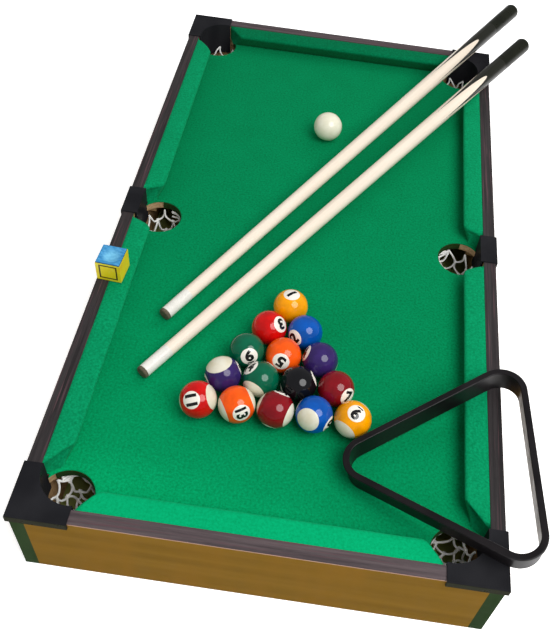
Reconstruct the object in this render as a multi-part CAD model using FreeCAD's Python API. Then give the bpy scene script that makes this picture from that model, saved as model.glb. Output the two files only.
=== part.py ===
"""Mini pool table with its balls, cues, rack and chalk.

Millimetres. The origin is on the floor under the middle of the cabinet, +X to
the right, +Y towards the far end, +Z up. Each sub-part is one STEP file.
"""
import FreeCAD
import Part
import math
import os

V = FreeCAD.Vector
UP = V(0, 0, 1)

# ---- driving dimensions of the cabinet
WIDTH = 300.0
LENGTH = 555.0
HEIGHT = 68.0
PANEL = 9.4
RAIL_THICKNESS = 1.2
BED_DEPTH = 14.7
CLOTH_THICKNESS = 0.8
BED_THICKNESS = 6.0
GUARD_WIDTH = 9.0
GUARD_THICKNESS = 0.8
CORNER_BLOCK = 7.0
LEDGER = 8.0
SIDE_LEDGER_ENDS = (20.0, 226.0)
END_LEDGER_HALF = 98.0
RIB_THICKNESS = 9.4
RIB_LENGTH = 190.0
SCREW_RADIUS = 1.0
SCREW_HEAD_RADIUS = 2.0
SCREW_LENGTH = 13.0
SCREW_HEAD_HEIGHT = 1.4
SCREW_CLEARANCE = 0.02
SIDE_SCREWS = (-200.0, -46.0, 46.0, 200.0)
END_SCREWS = (-80.0, 80.0)

# ---- cushions: a nose held out from the panel, undercut down to the cloth
NOSE_OUT = 15.6
NOSE_HEIGHT = 11.7
CUSHION_TOP_OUT = 13.4
CUSHION_TOP_DROP = 0.8
CUSHION_BACK_DROP = 0.2
CUSHION_BEND = (0.5, 0.6)
CUSHION_BASE_OUT = 9.5
LONG_NOSE = (21.5, 226.0)
LONG_BACK = (16.2, 240.0)
SHORT_NOSE = 104.0
SHORT_BACK = 113.3

# ---- pockets
CORNER_HOLE = (123.5, 253.0, 18.0)
SIDE_HOLE = (124.0, 0.0, 17.5)
THROAT = (117.2, 244.4, 22.0)
THROAT_WALL = 1.2
THROAT_BOTTOM = 37.0
SIDE_THROAT_X = 138.0
SIDE_CAP_HALF = 14.5
CAP_PLATE = 1.0
CAP_PROUD = 1.4
CAP_LEG = 37.8
CAP_SKIRT = 5.2
CAP_EDGE = 0.5
PEG_RADIUS = 1.2
PEG_LENGTH = 8.0
PEG_CLEARANCE = 0.05
PEG_FROM_LEG_END = 8.0
SIDE_PEG_Y = 9.0
THROAT_CLEARANCE = 0.3
THROAT_BACK = 0.9
THROAT_SIDE = 4.3
CORNER_NET = (119.5, 246.7)
SIDE_NET = (120.3, 0.0)
NET_RIM_RADIUS = 17.3
NET_BASE_RADIUS = 15.2
NET_WALL = 1.2
NET_BASE_HEIGHT = 22.0

# ---- play set
BALL_RADIUS = 12.7
BALL_PITCH = 26.15
REST_GAP = 0.3
RACKED_APEX = (-4.5, -86.0)
RACKED_TURN = 1.03
CUE_BALL = (1.0, 130.0)
RACKED_ROWS = (("1",), ("3", "2"), ("6", "5", "4"), ("12", "14", "8", "7"), ("11", "13", "15", "10", "9"))

CUE_LENGTH = 530.0
CUE_TIP_RADIUS = 4.75
CUE_BUTT_RADIUS = 7.5
CUE_TIP_LENGTH = 2.6
TIP_ROUNDING = 1.2
FERRULE_END = 26.0
SHAFT_END = 482.0
BUTT_ROUNDING = 4.0
# each cue: where its tip is in plan, its heading and how far along it rests on the cap
CUE_PLACES = {
    "cue_1": ((-95.9, -104.8), 59.2, 432.0),
    "cue_2": ((-99.3, -158.0), 57.6, 464.0),
}

RACK_SIDE = 146.0
RACK_WALL = 2.4
RACK_FLANGE = 4.5
RACK_FLANGE_THICKNESS = 2.2
RACK_HEIGHT = 16.0
RACK_EDGE = 0.7
RACK_TURN = -26.0
RACK_LEFT = 50.0
RACK_GAP = 0.45
RACK_Y = -202.0

CHALK = 18.6
CHALK_PAPER = 0.25
CHALK_EDGE = 1.0
PAPER_FROM_FOOT = 0.4
CHALK_CUP_RADIUS = 16.0
CHALK_CUP_DEPTH = 2.0
CHALK_CENTRE = (-139.5, -78.8)
CHALK_TURN = -4.0

# ---- worked out from the above
HALF_WIDTH = WIDTH / 2
HALF_LENGTH = LENGTH / 2
INNER_X = HALF_WIDTH - PANEL
INNER_Y = HALF_LENGTH - PANEL
PANEL_TOP = HEIGHT - RAIL_THICKNESS
CLOTH_TOP = HEIGHT - BED_DEPTH
BED_TOP = CLOTH_TOP - CLOTH_THICKNESS
BED_BOTTOM = BED_TOP - BED_THICKNESS
NOSE_X = INNER_X - NOSE_OUT
CUSHION_CREST = HEIGHT - CUSHION_TOP_DROP
CORNERS = {"front_left": (-1, -1), "front_right": (1, -1), "rear_left": (-1, 1), "rear_right": (1, 1)}
SIDES = {"left": -1, "right": 1}
ENDS = {"front": -1, "rear": 1}

parts = {}


def block(x0, x1, y0, y1, z0, z1):
    """A box between two corners."""
    return Part.makeBox(x1 - x0, y1 - y0, z1 - z0, V(x0, y0, z0))


def prism(outline, z0, z1):
    """A solid with straight walls over a plan outline of (x, y) points."""
    wire = Part.makePolygon([V(x, y, z0) for x, y in outline] + [V(outline[0][0], outline[0][1], z0)])
    return Part.Face(wire).extrude(V(0, 0, z1 - z0))


def flip(shape, sx, sy):
    """The shape moved from the rear right quarter to another by mirroring."""
    if sx < 0:
        shape = shape.mirror(V(0, 0, 0), V(1, 0, 0))
    if sy < 0:
        shape = shape.mirror(V(0, 0, 0), V(0, 1, 0))
    return shape


def group(shapes):
    """Several separate solids in one node."""
    return Part.makeCompound([solid for shape in shapes for solid in shape.Solids])


# ---- cabinet

def peg_places():
    """Plan places of the cap pegs in the rear right quarter, and the side cap's on the right."""
    middle = HALF_WIDTH - PANEL / 2
    inset = CAP_LEG - PEG_FROM_LEG_END
    return {
        "corner": [(middle, HALF_LENGTH - inset), (HALF_WIDTH - inset, HALF_LENGTH - PANEL / 2)],
        "side": [(middle, SIDE_PEG_Y), (middle, -SIDE_PEG_Y)],
    }


def peg(x, y, grow):
    return Part.makeCylinder(PEG_RADIUS + grow, PEG_LENGTH + grow, V(x, y, HEIGHT - PEG_LENGTH - grow), UP)


def peg_holes():
    """The holes that all caps' pegs sit in, through the rails into the panels."""
    places = peg_places()
    holes = []
    for sx, sy in CORNERS.values():
        holes += [peg(sx * x, sy * y, PEG_CLEARANCE) for x, y in places["corner"]]
    for sx in SIDES.values():
        holes += [peg(sx * x, y, PEG_CLEARANCE) for x, y in places["side"]]
    return holes


def end_bar(z0, z1):
    """The bar of the rear end, mitred at both corners."""
    outline = [
        (-HALF_WIDTH, HALF_LENGTH),
        (HALF_WIDTH, HALF_LENGTH),
        (INNER_X, INNER_Y),
        (-INNER_X, INNER_Y),
    ]
    return prism(outline, z0, z1)


def side_bar(z0, z1):
    """The bar of the right side, mitred at both corners."""
    outline = [
        (HALF_WIDTH, -HALF_LENGTH),
        (HALF_WIDTH, HALF_LENGTH),
        (INNER_X, INNER_Y),
        (INNER_X, -INNER_Y),
    ]
    return prism(outline, z0, z1)


def corner_guard():
    """The angle strip let into the outer corner, over the full height of the panels."""
    outer = block(HALF_WIDTH - GUARD_WIDTH, HALF_WIDTH, HALF_LENGTH - GUARD_WIDTH, HALF_LENGTH, 0, PANEL_TOP)
    hollow = block(0, HALF_WIDTH - GUARD_THICKNESS, 0, HALF_LENGTH - GUARD_THICKNESS, -1, HEIGHT)
    return outer.cut(hollow)


def ledgers():
    """Strips glued and screwed to the panels, which carry the bed between the pockets."""
    top = BED_BOTTOM
    bars = []
    for sx in (-1, 1):
        for sy in (-1, 1):
            bars.append(flip(block(INNER_X - LEDGER, INNER_X, *SIDE_LEDGER_ENDS, top - LEDGER, top), sx, sy))
    for sy in (-1, 1):
        bar = block(-END_LEDGER_HALF, END_LEDGER_HALF, INNER_Y - LEDGER, INNER_Y, top - LEDGER, top)
        bars.append(flip(bar, 1, sy))
    return bars


def screw(point, outward, grow=0.0):
    """A countersunk screw from the ledger's face out into the panel."""
    shank = Part.makeCylinder(SCREW_RADIUS + grow, SCREW_LENGTH, point, outward)
    head = Part.makeCone(SCREW_HEAD_RADIUS + grow, SCREW_RADIUS + grow, SCREW_HEAD_HEIGHT, point, outward)
    return shank.fuse(head).removeSplitter()


def screw_places():
    """Start point and direction of each ledger screw."""
    height = BED_BOTTOM - LEDGER / 2
    places = []
    for sx in (-1, 1):
        for y in SIDE_SCREWS:
            places.append((V(sx * (INNER_X - LEDGER), y, height), V(sx, 0, 0)))
    for sy in (-1, 1):
        for x in END_SCREWS:
            places.append((V(x, sy * (INNER_Y - LEDGER), height), V(0, sy, 0)))
    return places


def make_cabinet():
    holes = peg_holes() + [screw(point, way, SCREW_CLEARANCE) for point, way in screw_places()]
    guards = [flip(corner_guard(), sx, sy) for sx, sy in CORNERS.values()]
    for name, sy in ENDS.items():
        parts[name + "_panel"] = flip(end_bar(0, PANEL_TOP), 1, sy).cut(guards + holes)
        parts[name + "_rail"] = flip(end_bar(PANEL_TOP, HEIGHT), 1, sy).cut(holes)
    for name, sx in SIDES.items():
        parts[name + "_panel"] = flip(side_bar(0, PANEL_TOP), sx, 1).cut(guards + holes)
        parts[name + "_rail"] = flip(side_bar(PANEL_TOP, HEIGHT), sx, 1).cut(holes)
    parts["corner_guards"] = group(guards)
    triangle = [(INNER_X, INNER_Y), (INNER_X - CORNER_BLOCK, INNER_Y), (INNER_X, INNER_Y - CORNER_BLOCK)]
    corner_block = prism(triangle, 0, BED_BOTTOM)
    parts["corner_blocks"] = group([flip(corner_block, sx, sy) for sx, sy in CORNERS.values()])
    parts["bed_ledgers"] = group([bar.cut(holes) for bar in ledgers()])
    parts["ledger_screws"] = group([screw(point, way) for point, way in screw_places()])
    parts["centre_rib"] = block(-RIB_LENGTH / 2, RIB_LENGTH / 2, -RIB_THICKNESS / 2, RIB_THICKNESS / 2, 0, BED_BOTTOM)


# ---- bed, cloth and cushions

def pocket_cutters():
    """What is cut out of the bed and its cloth: the round holes and room for the caps' throats."""
    z0 = BED_BOTTOM - 1
    z1 = CLOTH_TOP + 1
    x, y, radius = CORNER_HOLE
    tx, ty, tr = THROAT
    corner = [
        Part.makeCylinder(radius, z1 - z0, V(x, y, z0), UP),
        block(tx, HALF_WIDTH, ty, HALF_LENGTH, z0, z1),
        block(tx + tr - THROAT_BACK, HALF_WIDTH, ty - THROAT_SIDE, HALF_LENGTH, z0, z1),
        block(tx - THROAT_SIDE, HALF_WIDTH, ty + tr - THROAT_BACK, HALF_LENGTH, z0, z1),
    ]
    x, y, radius = SIDE_HOLE
    half = SIDE_CAP_HALF + THROAT_CLEARANCE
    side = [
        Part.makeCylinder(radius, z1 - z0, V(x, y, z0), UP),
        block(SIDE_THROAT_X - THROAT_CLEARANCE, HALF_WIDTH, -half, half, z0, z1),
    ]
    cutters = [flip(shape, sx, sy) for shape in corner for sx, sy in CORNERS.values()]
    return cutters + [flip(shape, sx, 1) for shape in side for sx in SIDES.values()]


def cushion_profile(face, along):
    """The cushion's section, as a face standing at `along`, out from a panel's inner face."""
    points = {
        "foot": V(face, along, CLOTH_TOP),
        "back": V(face, along, HEIGHT - CUSHION_BACK_DROP),
        "crest": V(face - CUSHION_TOP_OUT, along, CUSHION_CREST),
        "bend": V(face - NOSE_OUT + CUSHION_BEND[0], along, CUSHION_CREST - CUSHION_BEND[1]),
        "nose": V(face - NOSE_OUT, along, CLOTH_TOP + NOSE_HEIGHT),
        "heel": V(face - CUSHION_BASE_OUT, along, CLOTH_TOP),
    }
    edges = [
        Part.makeLine(points["foot"], points["back"]),
        Part.makeLine(points["back"], points["crest"]),
        Part.Arc(points["crest"], points["bend"], points["nose"]).toShape(),
        Part.makeLine(points["nose"], points["heel"]),
        Part.makeLine(points["heel"], points["foot"]),
    ]
    return Part.Face(Part.Wire(edges))


def make_bed():
    cutters = pocket_cutters()
    parts["bed_board"] = block(-INNER_X, INNER_X, -INNER_Y, INNER_Y, BED_BOTTOM, BED_TOP).cut(cutters)
    parts["bed_cloth"] = block(-INNER_X, INNER_X, -INNER_Y, INNER_Y, BED_TOP, CLOTH_TOP).cut(cutters)
    bar = cushion_profile(INNER_X, 0).extrude(V(0, HALF_LENGTH, 0))
    plan = [(INNER_X, LONG_BACK[0]), (INNER_X, LONG_BACK[1]), (NOSE_X, LONG_NOSE[1]), (NOSE_X, LONG_NOSE[0])]
    long_cushion = bar.common(prism(plan, 0, 2 * HEIGHT))
    for name, (sx, sy) in CORNERS.items():
        parts[name + "_cushion"] = flip(long_cushion, sx, sy)
    bar = cushion_profile(INNER_Y, -HALF_WIDTH).extrude(V(0, WIDTH, 0))
    bar.rotate(V(0, 0, 0), UP, 90)
    nose_y = INNER_Y - NOSE_OUT
    plan = [(-SHORT_BACK, INNER_Y), (SHORT_BACK, INNER_Y), (SHORT_NOSE, nose_y), (-SHORT_NOSE, nose_y)]
    short_cushion = bar.common(prism(plan, 0, 2 * HEIGHT))
    for name, sy in ENDS.items():
        parts[name + "_end_cushion"] = flip(short_cushion, 1, sy)


# ---- pocket caps and nets

def soften_top(shape, top, outer_x, outer_y):
    """Round the long outer edges of a cap's plate."""
    chosen = []
    for edge in shape.Edges:
        box = edge.BoundBox
        on_top = abs(box.ZMin - top) < 1e-6 and abs(box.ZMax - top) < 1e-6
        outside = abs(box.XMin - outer_x) < 1e-6 or (outer_y and abs(box.YMin - outer_y) < 1e-6)
        if on_top and outside:
            chosen.append(edge)
    return shape.makeFillet(CAP_EDGE, chosen)


def corner_cap():
    """Plate over the mitred corner, skirt outside, curved throat inside and two pegs."""
    outer_x = HALF_WIDTH + CAP_PROUD
    outer_y = HALF_LENGTH + CAP_PROUD
    top = HEIGHT + CAP_PLATE
    low = HEIGHT - CAP_SKIRT
    tx, ty, tr = THROAT
    x0 = outer_x - CAP_LEG
    y0 = outer_y - CAP_LEG
    well = Part.makeCylinder(tr, 2 * HEIGHT, V(tx, ty, 0), UP)
    plate = block(x0, outer_x, y0, outer_y, HEIGHT, top)
    skirt = block(x0, outer_x, y0, outer_y, low, HEIGHT).cut(block(0, HALF_WIDTH, 0, HALF_LENGTH, 0, top))
    throat = Part.makeCylinder(tr + THROAT_WALL, top - THROAT_BOTTOM, V(tx, ty, THROAT_BOTTOM), UP)
    throat = throat.common(block(x0, outer_x, y0, outer_y, 0, top))
    cap = plate.fuse([skirt, throat]).cut(well)
    cap = cap.fuse([peg(x, y, 0.0) for x, y in peg_places()["corner"]]).removeSplitter()
    return soften_top(cap, top, outer_x, outer_y)


def side_cap():
    """The same over the middle of the right rail, with a flat throat."""
    outer_x = HALF_WIDTH + CAP_PROUD
    top = HEIGHT + CAP_PLATE
    low = HEIGHT - CAP_SKIRT
    half = SIDE_CAP_HALF
    plate = block(SIDE_THROAT_X, outer_x, -half, half, HEIGHT, top)
    skirt = block(HALF_WIDTH, outer_x, -half, half, low, HEIGHT)
    throat = block(SIDE_THROAT_X, SIDE_THROAT_X + THROAT_WALL, -half, half, THROAT_BOTTOM, HEIGHT)
    pegs = [peg(x, y, 0.0) for x, y in peg_places()["side"]]
    cap = plate.fuse([skirt, throat] + pegs).removeSplitter()
    return soften_top(cap, top, outer_x, None)


def net_bag(centre):
    """The pocket's net as a thin bag, hung from under the bed round the hole."""
    base = NET_BASE_HEIGHT
    slope = V(NET_RIM_RADIUS - NET_BASE_RADIUS, 0, BED_BOTTOM - base)
    tangent = math.atan2(slope.x, slope.z)

    def profile(offset, top):
        rim = NET_RIM_RADIUS - offset
        radius = (NET_BASE_RADIUS - offset) / math.cos(tangent)
        level = base + radius * math.sin(tangent)
        touch = V(radius * math.cos(tangent), 0, level - radius * math.sin(tangent))
        turn = math.radians(-45)
        middle = V(radius * math.cos(turn), 0, level + radius * math.sin(turn))
        bottom = V(0, 0, level - radius)
        edges = [
            Part.makeLine(bottom, V(0, 0, top)),
            Part.makeLine(V(0, 0, top), V(rim, 0, top)),
            Part.makeLine(V(rim, 0, top), touch),
            Part.Arc(touch, middle, bottom).toShape(),
        ]
        return Part.Face(Part.Wire(edges)).revolve(V(0, 0, 0), UP, 360)

    bag = profile(0.0, BED_BOTTOM).cut(profile(NET_WALL, BED_BOTTOM + 5.0))
    bag.translate(V(centre[0], centre[1], 0))
    return bag


def make_pockets():
    for name, (sx, sy) in CORNERS.items():
        parts[name + "_cap"] = flip(corner_cap(), sx, sy)
        parts[name + "_net"] = flip(net_bag(CORNER_NET), sx, sy)
    for name, sx in SIDES.items():
        parts[name + "_side_cap"] = flip(side_cap(), sx, 1)
        parts[name + "_side_net"] = flip(net_bag(SIDE_NET), sx, 1)


# ---- balls, cues, rack and chalk

def make_balls():
    height = CLOTH_TOP + REST_GAP + BALL_RADIUS
    parts["cue_ball"] = Part.makeSphere(BALL_RADIUS, V(CUE_BALL[0], CUE_BALL[1], height))
    turn = math.radians(RACKED_TURN)
    for row, numbers in enumerate(RACKED_ROWS):
        for place, number in enumerate(numbers):
            across = (place - row / 2) * BALL_PITCH
            back = -row * BALL_PITCH * math.sqrt(3) / 2
            x = RACKED_APEX[0] + across * math.cos(turn) - back * math.sin(turn)
            y = RACKED_APEX[1] + across * math.sin(turn) + back * math.cos(turn)
            parts["ball_" + number] = Part.makeSphere(BALL_RADIUS, V(x, y, height))


def cue_radius(s):
    return CUE_TIP_RADIUS + (CUE_BUTT_RADIUS - CUE_TIP_RADIUS) * s / CUE_LENGTH


def cue_cone(s0, s1):
    return Part.makeCone(cue_radius(s0), cue_radius(s1), s1 - s0, V(s0, 0, 0), V(1, 0, 0))


def end_edge(shape, s):
    """The round edge of a cue piece in the plane across the cue at s."""
    return [edge for edge in shape.Edges if abs(edge.BoundBox.XMin - s) + abs(edge.BoundBox.XMax - s) < 1e-3]


def cue_along_x():
    """The cue's pieces with the tip's face at the origin and the butt towards +X."""
    tip = cue_cone(0, CUE_TIP_LENGTH)
    tip = tip.makeFillet(TIP_ROUNDING, end_edge(tip, 0))
    butt = cue_cone(SHAFT_END, CUE_LENGTH)
    butt = butt.makeFillet(BUTT_ROUNDING, end_edge(butt, CUE_LENGTH))
    ferrule = cue_cone(CUE_TIP_LENGTH, FERRULE_END)
    return {"tip": tip, "ferrule": ferrule, "shaft": cue_cone(FERRULE_END, SHAFT_END), "butt": butt}


def make_cue(name, tip_place, heading, support_distance):
    """Lay a cue with its tip end on the cloth and its shaft over a corner cap."""
    rise = HEIGHT + CAP_PLATE - CLOTH_TOP
    taper = math.atan((CUE_BUTT_RADIUS - CUE_TIP_RADIUS) / CUE_LENGTH)
    incline = math.degrees(math.atan(rise / support_distance) + taper)
    lift = CLOTH_TOP + REST_GAP + CUE_TIP_RADIUS
    for piece, shape in cue_along_x().items():
        shape.rotate(V(0, 0, 0), V(0, 1, 0), -incline)
        shape.rotate(V(0, 0, 0), UP, heading)
        shape.translate(V(tip_place[0], tip_place[1], lift))
        parts[name + "_" + piece] = shape


def rounded_triangle(radius, z0, z1):
    """A triangle prism with its corners rounded about the places of the three corner balls."""
    reach = 2 * (RACK_SIDE / (2 * math.sqrt(3)) - BALL_RADIUS)

    def on_corner(corner, angle):
        turn = math.radians(90 + 120 * corner)
        rim = turn + math.radians(angle)
        return V(reach * math.cos(turn) + radius * math.cos(rim), reach * math.sin(turn) + radius * math.sin(rim), z0)

    edges = []
    for corner in range(3):
        edges.append(Part.Arc(on_corner(corner, -60), on_corner(corner, 0), on_corner(corner, 60)).toShape())
        edges.append(Part.makeLine(on_corner(corner, 60), on_corner(corner + 1, -60)))
    return Part.Face(Part.Wire(edges)).extrude(V(0, 0, z1 - z0))


def make_rack():
    """A wall with a flange round its top edge, leaning on the cloth and the right cushion."""
    hollow = rounded_triangle(BALL_RADIUS, -1, RACK_HEIGHT + 1)
    wall = rounded_triangle(BALL_RADIUS + RACK_WALL, 0, RACK_HEIGHT)
    flange = rounded_triangle(BALL_RADIUS + RACK_FLANGE, RACK_HEIGHT - RACK_FLANGE_THICKNESS, RACK_HEIGHT)
    rack = wall.fuse(flange).cut(hollow).removeSplitter()
    top = [edge for edge in rack.Edges if edge.BoundBox.ZMin > RACK_HEIGHT - 1e-3]
    rack = rack.makeFillet(RACK_EDGE, top)
    rest_x = INNER_X - CUSHION_TOP_OUT
    lean = math.atan((CUSHION_CREST + RACK_GAP - CLOTH_TOP) / (rest_x - RACK_LEFT))
    corner = 2 * (RACK_SIDE / (2 * math.sqrt(3)) - BALL_RADIUS)
    reach = BALL_RADIUS + RACK_WALL - corner * math.cos(math.radians(210 + RACK_TURN))
    rack.rotate(V(0, 0, 0), UP, RACK_TURN)
    rack.rotate(V(0, 0, 0), V(0, 1, 0), -math.degrees(lean))
    rack.translate(V(RACK_LEFT + reach * math.cos(lean), RACK_Y, CLOTH_TOP + REST_GAP + reach * math.sin(lean)))
    parts["rack"] = rack


def make_chalk():
    half = CHALK / 2
    inner = half - CHALK_PAPER
    base = HEIGHT + REST_GAP
    cube = block(-inner, inner, -inner, inner, 0, CHALK)
    cup = Part.makeSphere(CHALK_CUP_RADIUS, V(0, 0, CHALK + CHALK_CUP_RADIUS - CHALK_CUP_DEPTH))
    cube = cube.cut(cup)
    paper = block(-half, half, -half, half, PAPER_FROM_FOOT, CHALK - CHALK_EDGE)
    paper = paper.cut(block(-inner, inner, -inner, inner, -1, CHALK + 1))
    for name, shape in (("chalk_block", cube), ("chalk_wrapper", paper)):
        shape.rotate(V(0, 0, 0), UP, CHALK_TURN)
        shape.translate(V(CHALK_CENTRE[0], CHALK_CENTRE[1], base))
        parts[name] = shape


make_cabinet()
make_bed()
make_pockets()
make_balls()
for cue, place in CUE_PLACES.items():
    make_cue(cue, *place)
make_rack()
make_chalk()

os.makedirs("parts", exist_ok=True)
for node, shape in parts.items():
    shape.exportStep("parts/" + node + ".step")
    print(node, len(shape.Solids), shape.isValid(), round(shape.Volume, 1))
print(len(parts), "nodes")
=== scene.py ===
"""Looks of the mini pool table: felt, cushions, knotted pocket nets, numbered balls, cues,
rack and chalk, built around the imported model. Metres, Z up, the table's middle over the origin."""
import math
import random

import bmesh
import bpy
from mathutils import Matrix, Vector, noise


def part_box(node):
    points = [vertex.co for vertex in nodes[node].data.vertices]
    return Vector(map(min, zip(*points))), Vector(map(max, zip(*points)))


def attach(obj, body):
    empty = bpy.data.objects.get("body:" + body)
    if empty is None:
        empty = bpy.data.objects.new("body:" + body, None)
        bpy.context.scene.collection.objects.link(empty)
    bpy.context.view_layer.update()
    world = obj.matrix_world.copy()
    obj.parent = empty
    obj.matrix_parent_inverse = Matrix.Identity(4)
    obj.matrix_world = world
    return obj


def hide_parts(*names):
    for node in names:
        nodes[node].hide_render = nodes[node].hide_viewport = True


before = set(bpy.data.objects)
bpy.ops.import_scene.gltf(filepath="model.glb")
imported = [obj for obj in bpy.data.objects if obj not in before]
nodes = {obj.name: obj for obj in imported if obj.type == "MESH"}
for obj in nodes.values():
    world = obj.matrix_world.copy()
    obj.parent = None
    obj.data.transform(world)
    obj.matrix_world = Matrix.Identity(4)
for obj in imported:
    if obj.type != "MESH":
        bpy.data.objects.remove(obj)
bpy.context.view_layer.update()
scene = bpy.context.scene
MM = 0.001

# the cabinet's outer faces, the top of its rails, and the bed cloth's edges and top
HALF_WIDTH, HALF_LENGTH, RAIL_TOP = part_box("right_rail")[1]
INNER_X, INNER_Y, CLOTH_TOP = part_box("bed_cloth")[1]

# ---- camera

# metres, then degrees of heading, tilt and roll
CAMERA_PLACE = (0.01749, -0.48039, 0.54456)
CAMERA_TURNS = (1.65644, 40.72136, 6.84213)
CAMERA_LENS = 47.66
CAMERA_SHIFT = (-0.0506, -0.0396)

camera_data = bpy.data.cameras.new("camera")
camera_data.lens = CAMERA_LENS
camera_data.sensor_width = 36.0
camera_data.shift_x, camera_data.shift_y = CAMERA_SHIFT
camera_data.clip_start = 0.01
camera = bpy.data.objects.new("camera", camera_data)
scene.collection.objects.link(camera)
heading, tilt, roll = (math.radians(a) for a in CAMERA_TURNS)
turned = Matrix.Rotation(heading, 4, "Z") @ Matrix.Rotation(tilt, 4, "X") @ Matrix.Rotation(roll, 4, "Z")
camera.matrix_world = Matrix.Translation(CAMERA_PLACE) @ turned
scene.camera = camera
scene.view_settings.view_transform = "Standard"


# ---- light

AMBIENT = 0.32


def disc_light(name, way, distance, spread, power, mirrored=True):
    """A round soft light that shines at the table's middle from direction `way`. Its half angle
    seen from there is `spread` degrees, and mirrored=False keeps it out of reflections."""
    data = bpy.data.lights.new(name, "AREA")
    data.shape = "DISK"
    data.size = 2 * distance * math.tan(math.radians(spread))
    data.energy = power
    light = bpy.data.objects.new(name, data)
    light.visible_glossy = mirrored
    scene.collection.objects.link(light)
    place = Vector(way).normalized() * distance
    light.matrix_world = Matrix.Translation(place) @ place.to_track_quat("Z", "Y").to_matrix().to_4x4()


disc_light("key_light", (0.43, -0.37, 0.82), 1.5, 20.0, 18.4)
disc_light("overhead_light", (0.35, 0.55, 0.78), 2.2, 24.0, 12.0, mirrored=False)
disc_light("side_light", (-0.85, -0.25, 0.5), 2.2, 20.0, 5.5, mirrored=False)

world = bpy.data.worlds.new("studio")
world.use_nodes = True
world.node_tree.nodes["Background"].inputs["Color"].default_value = (1, 1, 1, 1)
world.node_tree.nodes["Background"].inputs["Strength"].default_value = AMBIENT
scene.world = world


# ---- node helpers

class Tree:
    """Adds nodes to a shader tree. An input is given a value or another node's socket."""

    def __init__(self, tree):
        self.tree = tree

    def add(self, kind, settings=None, **inputs):
        node = self.tree.nodes.new(kind)
        for key, value in (settings or {}).items():
            setattr(node, key, value)
        for key, value in inputs.items():
            self.feed(node.inputs[key.replace("_", " ")], value)
        return node

    def feed(self, socket, value):
        if isinstance(value, bpy.types.NodeSocket):
            self.tree.links.new(value, socket)
        else:
            socket.default_value = value

    def math(self, operation, *values, clamp=False):
        node = self.tree.nodes.new("ShaderNodeMath")
        node.operation = operation
        node.use_clamp = clamp
        for socket, value in zip(node.inputs, values):
            self.feed(socket, value)
        return node.outputs[0]

    def vector(self, operation, *values):
        node = self.tree.nodes.new("ShaderNodeVectorMath")
        node.operation = operation
        for socket, value in zip(node.inputs, values):
            self.feed(socket, value)
        return node.outputs["Value" if operation in ("DOT_PRODUCT", "LENGTH") else "Vector"]

    def step(self, value, start, end):
        """0 below start, 1 above end, smooth between."""
        node = self.add("ShaderNodeMapRange", {"interpolation_type": "SMOOTHSTEP"}, Value=value)
        node.inputs["From Min"].default_value = start
        node.inputs["From Max"].default_value = end
        return node.outputs["Result"]

    def past(self, value, place, blur):
        """1 where the value is past a place, with an edge that is blurred each way."""
        return self.step(value, place - blur, place + blur)

    def flip(self, value):
        return self.math("SUBTRACT", 1.0, value)

    def spread(self, value, low, high, start=0.0, end=1.0):
        """Run from low to high while the value runs from start to end."""
        node = self.add("ShaderNodeMapRange", None, Value=value)
        for name, number in (("From Min", start), ("From Max", end), ("To Min", low), ("To Max", high)):
            self.feed(node.inputs[name], number)
        return node.outputs["Result"]

    def mix(self, factor, first, second, kind="MIX"):
        node = self.tree.nodes.new("ShaderNodeMix")
        node.data_type = "RGBA"
        node.blend_type = kind
        self.feed(node.inputs[0], factor)
        self.feed(node.inputs[6], first)
        self.feed(node.inputs[7], second)
        return node.outputs[2]

    def noise(self, vector, scale, detail=2.0, rough=0.5):
        node = self.add("ShaderNodeTexNoise", None, Vector=vector, Scale=scale, Detail=detail,
                        Roughness=rough)
        return node.outputs["Fac"]

    def place(self, vector, location=(0, 0, 0), rotation=(0, 0, 0), scale=(1, 1, 1), kind="POINT"):
        """Move a pattern's coordinates, or with kind="TEXTURE" the pattern itself."""
        node = self.add("ShaderNodeMapping", {"vector_type": kind}, Vector=vector)
        for name, value in (("Location", location), ("Rotation", rotation), ("Scale", scale)):
            self.feed(node.inputs[name], value)
        return node.outputs["Vector"]

    def parts(self, vector):
        node = self.add("ShaderNodeSeparateXYZ", None, Vector=vector)
        return node.outputs["X"], node.outputs["Y"], node.outputs["Z"]


def start_group(name, inputs, outputs):
    """A shader node group: returns its tree helper, its inputs by name and its output node."""
    tree = bpy.data.node_groups.new(name, "ShaderNodeTree")
    kinds = {"F": "NodeSocketFloat", "V": "NodeSocketVector", "C": "NodeSocketColor"}
    for title, kind in inputs:
        tree.interface.new_socket(title, in_out="INPUT", socket_type=kinds[kind])
    for title, kind in outputs:
        tree.interface.new_socket(title, in_out="OUTPUT", socket_type=kinds[kind])
    helper = Tree(tree)
    given = helper.add("NodeGroupInput").outputs
    given = {title: given[title] for title, _ in inputs}
    return helper, given, helper.add("NodeGroupOutput").inputs


def rgb(red, green, blue):
    """A 0 to 255 screen colour as a linear one."""
    values = []
    for part in (red, green, blue):
        part /= 255
        values.append(part / 12.92 if part <= 0.04045 else ((part + 0.055) / 1.055) ** 2.4)
    return (*values, 1.0)


# ---- effects that several finishes share

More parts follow.
